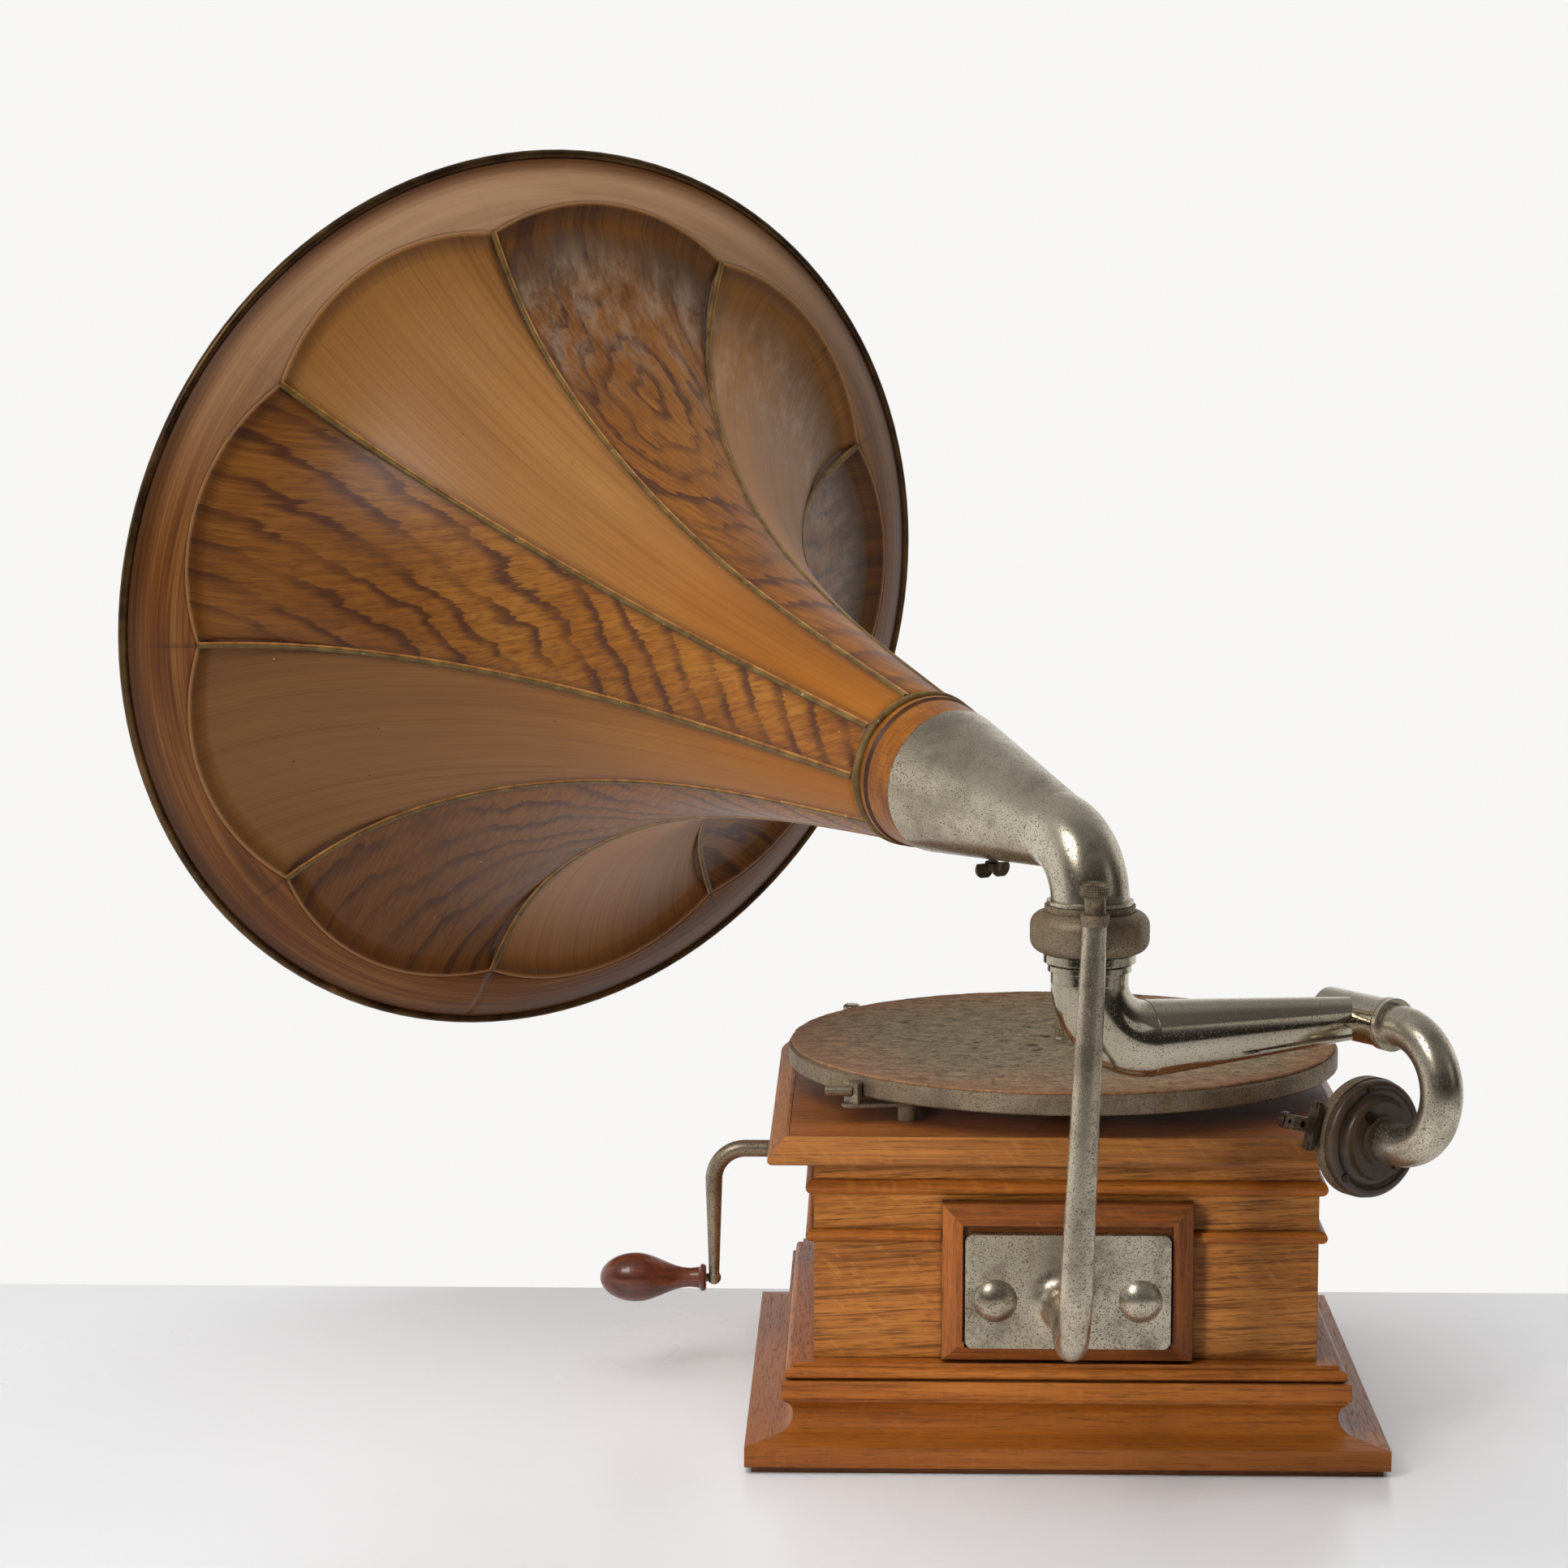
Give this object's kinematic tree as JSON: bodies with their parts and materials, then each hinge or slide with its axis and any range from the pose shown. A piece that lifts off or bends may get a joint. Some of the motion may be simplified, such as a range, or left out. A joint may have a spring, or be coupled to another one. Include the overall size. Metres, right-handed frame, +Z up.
{
  "type": "horn gramophone",
  "caption": "Table-top gramophone: wooden case on a moulded plinth, round turntable, side crank, and a petalled flower horn above a swinging tone arm.",
  "frame": {"origin": "centre of the underside of the base board", "axes": "+Z up, +X to the right of the picture, +Y away from the picture (the bracket is on the -Y side, the crank on the -X side)"},
  "size_m": [0.6152, 0.5701, 0.5825],
  "materials": {
    "oak": "waxed oak with open grain",
    "dark_oak": "darker stained oak",
    "nickel": "worn nickel plate with dark pits",
    "rusty_nickel": "nickel plate gone brown with rust",
    "brass": "dull brass",
    "steel": "plain machined steel",
    "iron": "dark cast iron",
    "rubber": "hard black rubber",
    "tin_plain": "tin painted as straight-grained wood",
    "tin_figured": "tin painted as dark figured wood",
    "mica": "thin mica",
    "felt": "worn brown-green felt",
    "leather": "dark leather",
    "handle_wood": "turned reddish-brown wood"
  },
  "bodies": {
    "case": {"base_board": "dark_oak", "plinth": "oak", "back_panel": "oak", "front_panel": "oak", "left_panel": "oak", "right_panel": "oak", "case_beads": "oak", "cap_frame": "oak", "motor_board": "dark_oak", "bracket_backing": "dark_oak", "bracket_arm": "nickel", "bracket_collar": "rusty_nickel", "bracket_bolts": "nickel", "keeper_plate": "rusty_nickel", "brake_post": "steel", "crank_bush": "brass", "motor_plate": "iron", "motor_base": "iron", "motor_screws": "steel"},
    "horn": {"horn_elbow": "nickel", "horn_ferrule": "tin_plain", "throat_ring": "brass", "horn_petal_1": "tin_figured", "horn_petal_2": "tin_plain", "horn_petal_3": "tin_figured", "horn_petal_4": "tin_plain", "horn_petal_5": "tin_figured", "horn_petal_6": "tin_plain", "horn_petal_7": "tin_figured", "horn_petal_8": "tin_figured", "horn_petal_9": "tin_plain", "horn_ribs": "brass", "horn_rim_band": "tin_plain", "horn_rim_wire": "brass"},
    "wing_screw": {"wing_screw": "rusty_nickel"},
    "thumbscrew": {"thumbscrew": "rusty_nickel"},
    "tone_arm": {"tone_arm": "nickel", "tone_arm_retainer": "steel"},
    "gooseneck": {"gooseneck": "nickel"},
    "soundbox": {"soundbox_ring": "brass", "soundbox_back": "rubber", "diaphragm": "mica", "soundbox_gaskets": "rubber", "soundbox_screws": "brass"},
    "needle_bar": {"needle_bar": "rusty_nickel"},
    "needle_screw": {"needle_screw": "rusty_nickel"},
    "turntable": {"platter": "rusty_nickel", "felt": "felt", "spindle": "steel"},
    "brake": {"brake_lever": "rusty_nickel", "brake_pad": "leather"},
    "regulator": {"regulator_knob": "rusty_nickel"},
    "crank": {"crank": "nickel", "winding_pinion": "steel"},
    "crank_handle": {"crank_handle": "handle_wood"},
    "barrel": {"spring_barrel": "steel", "mainspring": "steel"},
    "arbor": {"winding_arbor": "steel"},
    "intermediate": {"intermediate_gear": "brass"},
    "governor": {"governor": "brass"}
  },
  "joints": [
    {"name": "turntable_spin", "type": "hinge", "parent": "case", "child": "turntable", "pos_m": [0.0025, 0, 0.15], "axis": [0, 0, 1], "continuous": true},
    {"name": "intermediate_spin", "type": "hinge", "parent": "case", "child": "intermediate", "pos_m": [-0.02629, -0.02402, 0.09], "axis": [0, 0, 1], "continuous": true},
    {"name": "barrel_spin", "type": "hinge", "parent": "case", "child": "barrel", "pos_m": [-0.05, 0.02, 0.08], "axis": [0, 0, 1], "continuous": true},
    {"name": "governor_spin", "type": "hinge", "parent": "case", "child": "governor", "pos_m": [0.0393, 0, 0.09], "axis": [0, 0, 1], "continuous": true},
    {"name": "crank_spin", "type": "hinge", "parent": "case", "child": "crank", "pos_m": [-0.1111, 0.02, 0.111], "axis": [1, 0, 0], "continuous": true},
    {"name": "arbor_spin", "type": "hinge", "parent": "case", "child": "arbor", "pos_m": [-0.05, 0.02, 0.08], "axis": [0, 0, 1], "continuous": true},
    {"name": "crank_handle_spin", "type": "hinge", "parent": "crank", "child": "crank_handle", "pos_m": [-0.19, 0.02, 0.0485], "axis": [1, 0, 0], "continuous": true},
    {"name": "tonearm_swing", "type": "hinge", "parent": "case", "child": "tone_arm", "pos_m": [0.0052, -0.185, 0.24], "axis": [0, 0, 1], "range_deg": [-45, 0]},
    {"name": "gooseneck_flip", "type": "hinge", "parent": "tone_arm", "child": "gooseneck", "pos_m": [0.13431, -0.15972, 0.20506], "axis": [0.5736, -0.8192, 0], "range_deg": [0, 180]},
    {"name": "soundbox_turn", "type": "hinge", "parent": "gooseneck", "child": "soundbox", "pos_m": [0.12858, -0.15153, 0.15406], "axis": [0.5736, -0.8192, 0], "range_deg": [0, 105]},
    {"name": "needle_bar_rock", "type": "hinge", "parent": "soundbox", "child": "needle_bar", "pos_m": [0.10185, -0.1617, 0.16149], "axis": [0.212, 0.1485, 0.9659], "range_deg": [-0.2, 0.2], "stiffness_Nm_per_rad": 1},
    {"name": "needle_screw_turn", "type": "hinge", "parent": "needle_bar", "child": "needle_screw", "pos_m": [0.09169, -0.16149, 0.16369], "axis": [0.5736, -0.8192, 0], "range_deg": [0, 360]},
    {"name": "horn_swivel", "type": "hinge", "parent": "case", "child": "horn", "pos_m": [0.0052, -0.185, 0.264], "axis": [0, 0, 1], "range_deg": [-70, 70]},
    {"name": "wing_screw_turn", "type": "hinge", "parent": "horn", "child": "wing_screw", "pos_m": [-0.03396, -0.12504, 0.26531], "axis": [-0.0788, 0.1206, -0.9896], "range_deg": [0, 360]},
    {"name": "thumbscrew_turn", "type": "hinge", "parent": "case", "child": "thumbscrew", "pos_m": [0.0059, -0.212, 0.264], "axis": [0, 0, 1], "range_deg": [0, 360]},
    {"name": "brake_swing", "type": "hinge", "parent": "case", "child": "brake", "pos_m": [-0.06967, -0.08302, 0.1544], "axis": [0, 0, 1], "range_deg": [-2.5, 25]},
    {"name": "regulator_turn", "type": "hinge", "parent": "case", "child": "regulator", "pos_m": [-0.09601, 0.08995, 0.15], "axis": [0, 0, 1], "range_deg": [0, 270]}
  ],
  "couplings": [
    {"joint": "intermediate_spin", "follows": "turntable_spin", "ratio": -0.25},
    {"joint": "barrel_spin", "follows": "turntable_spin", "ratio": 0.0625},
    {"joint": "governor_spin", "follows": "turntable_spin", "ratio": -6.6667},
    {"joint": "arbor_spin", "follows": "crank_spin", "ratio": -0.5}
  ]
}
